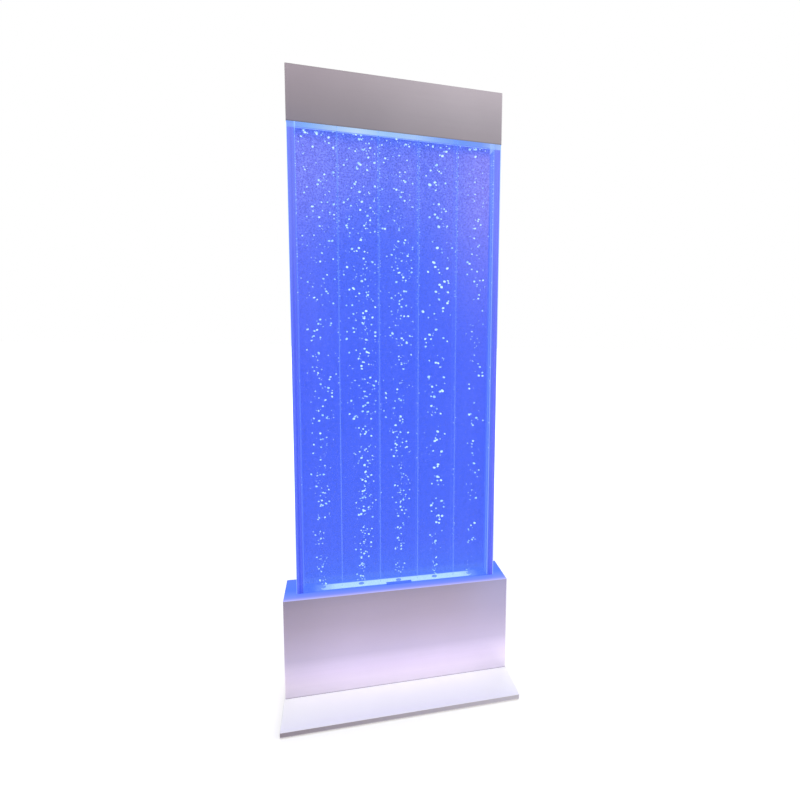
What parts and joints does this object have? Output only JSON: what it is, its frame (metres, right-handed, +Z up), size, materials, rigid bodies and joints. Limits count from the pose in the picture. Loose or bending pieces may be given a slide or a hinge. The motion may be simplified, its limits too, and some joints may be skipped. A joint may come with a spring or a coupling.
{
  "type": "bubble wall floor lamp",
  "caption": "Free-standing lit bubble wall: slim water tank with channels on a metal cabinet and base plate, a lift-off metal cap, and an air pump and lights inside.",
  "frame": {"origin": "centre of the footprint, on the floor", "axes": "+Z up, the front faces -Y, +X to the right as seen from the front"},
  "size_m": [0.686, 0.458, 1.832],
  "materials": {
    "skin_steel": "satin",
    "zinc_sheet": "satin",
    "bright_steel": "gloss",
    "black_tube": "satin",
    "board": "matte",
    "black_rubber": "matte",
    "clear_acrylic": "gloss",
    "frosted_acrylic": "satin",
    "water": "gloss",
    "white_acrylic": "satin",
    "opal_acrylic": "satin",
    "white_tray": "satin",
    "light_board": "satin",
    "aluminium_profile": "satin",
    "white_plastic": "satin",
    "clear_rubber": "satin",
    "grey_plastic": "matte",
    "black_plastic": "matte",
    "manifold_plastic": "satin",
    "knob_plastic": "satin",
    "lead_sleeve": "matte",
    "valve_brass": "satin",
    "lever_steel": "satin"
  },
  "bodies": {
    "frame": {"base_plate": "skin_steel", "cabinet_shell": "skin_steel", "rear_frame": "zinc_sheet", "hinge_frame_leaves": "zinc_sheet", "manifold_bracket": "zinc_sheet", "cap_brackets": "zinc_sheet", "base_screws": "bright_steel", "cabinet_fasteners": "bright_steel", "tank_screws": "bright_steel", "hinge_pins": "bright_steel", "support_frames": "black_tube", "base_core": "board", "foot_pads": "black_rubber", "tank_seat_pad": "black_rubber", "pump_feet": "black_rubber", "tank_front_sheet": "clear_acrylic", "tank_left_bar": "clear_acrylic", "tank_right_bar": "clear_acrylic", "tank_top_bar": "clear_acrylic", "tank_dividers": "clear_acrylic", "tank_rear_sheet": "frosted_acrylic", "water": "water", "tank_floor": "white_acrylic", "slot_diffuser": "opal_acrylic", "cap_led_lens": "opal_acrylic", "light_trough": "white_tray", "base_led_strips": "light_board", "cap_led_strip": "light_board", "cap_led_channel": "aluminium_profile", "air_nozzles": "white_plastic", "nozzle_nuts": "white_plastic", "led_controller": "white_plastic", "nozzle_seals": "clear_rubber", "air_tubes": "clear_rubber", "pump_hose": "clear_rubber", "pump_cover": "grey_plastic", "check_valve": "grey_plastic", "pump_base": "black_plastic", "mains_inlet": "black_plastic", "rocker_frame": "black_plastic", "power_supply": "black_plastic", "air_manifold": "manifold_plastic", "power_leads": "lead_sleeve", "led_leads": "lead_sleeve", "drain_valve": "valve_brass"},
    "door": {"service_door": "zinc_sheet", "hinge_door_leaves": "zinc_sheet", "latch_bush": "bright_steel"},
    "latch": {"latch_knob": "bright_steel", "latch_cam": "zinc_sheet"},
    "cap": {"top_cap": "skin_steel"},
    "plug": {"fill_plug": "white_plastic"},
    "rocker": {"rocker_key": "black_plastic"},
    "button": {"mode_button": "black_plastic"},
    "drain": {"drain_lever": "lever_steel"},
    "flow_1": {"flow_knob_1": "knob_plastic"},
    "flow_2": {"flow_knob_2": "knob_plastic"},
    "flow_3": {"flow_knob_3": "knob_plastic"},
    "flow_4": {"flow_knob_4": "knob_plastic"},
    "flow_5": {"flow_knob_5": "knob_plastic"}
  },
  "joints": [
    {"name": "door_hinge", "type": "hinge", "parent": "frame", "child": "door", "pos_m": [-0.2995, 0.0798, 0.17], "axis": [0, 0, 1], "range_deg": [0, 110]},
    {"name": "latch_turn", "type": "hinge", "parent": "door", "child": "latch", "pos_m": [0.184, 0.0765, 0.17], "axis": [0, 1, 0], "range_deg": [0, 90]},
    {"name": "cap_lift", "type": "slide", "parent": "frame", "child": "cap", "axis": [0, 0, 1], "range_m": [0, 0.16]},
    {"name": "plug_lift", "type": "slide", "parent": "frame", "child": "plug", "axis": [0, 0, 1], "range_m": [0, 0.025]},
    {"name": "switch_rock", "type": "hinge", "parent": "frame", "child": "rocker", "pos_m": [0.252, 0.0733, 0.165], "axis": [1, 0, 0], "range_deg": [-20, 0]},
    {"name": "button_press", "type": "slide", "parent": "frame", "child": "button", "axis": [0, -1, 0], "range_m": [0, 0.0015], "stiffness_N_per_m": 400},
    {"name": "drain_turn", "type": "hinge", "parent": "frame", "child": "drain", "pos_m": [-0.2715, 0.0113, 0.281], "axis": [0, -1, 0], "range_deg": [0, 90]},
    {"name": "flow_turn_1", "type": "hinge", "parent": "frame", "child": "flow_1", "pos_m": [-0.002, 0.0093, 0.128], "axis": [0, 1, 0], "range_deg": [0, 90]},
    {"name": "flow_turn_2", "type": "hinge", "parent": "frame", "child": "flow_2", "pos_m": [0.024, 0.0093, 0.128], "axis": [0, 1, 0], "range_deg": [0, 90]},
    {"name": "flow_turn_3", "type": "hinge", "parent": "frame", "child": "flow_3", "pos_m": [0.05, 0.0093, 0.128], "axis": [0, 1, 0], "range_deg": [0, 90]},
    {"name": "flow_turn_4", "type": "hinge", "parent": "frame", "child": "flow_4", "pos_m": [0.076, 0.0093, 0.128], "axis": [0, 1, 0], "range_deg": [0, 90]},
    {"name": "flow_turn_5", "type": "hinge", "parent": "frame", "child": "flow_5", "pos_m": [0.102, 0.0093, 0.128], "axis": [0, 1, 0], "range_deg": [0, 90]}
  ]
}
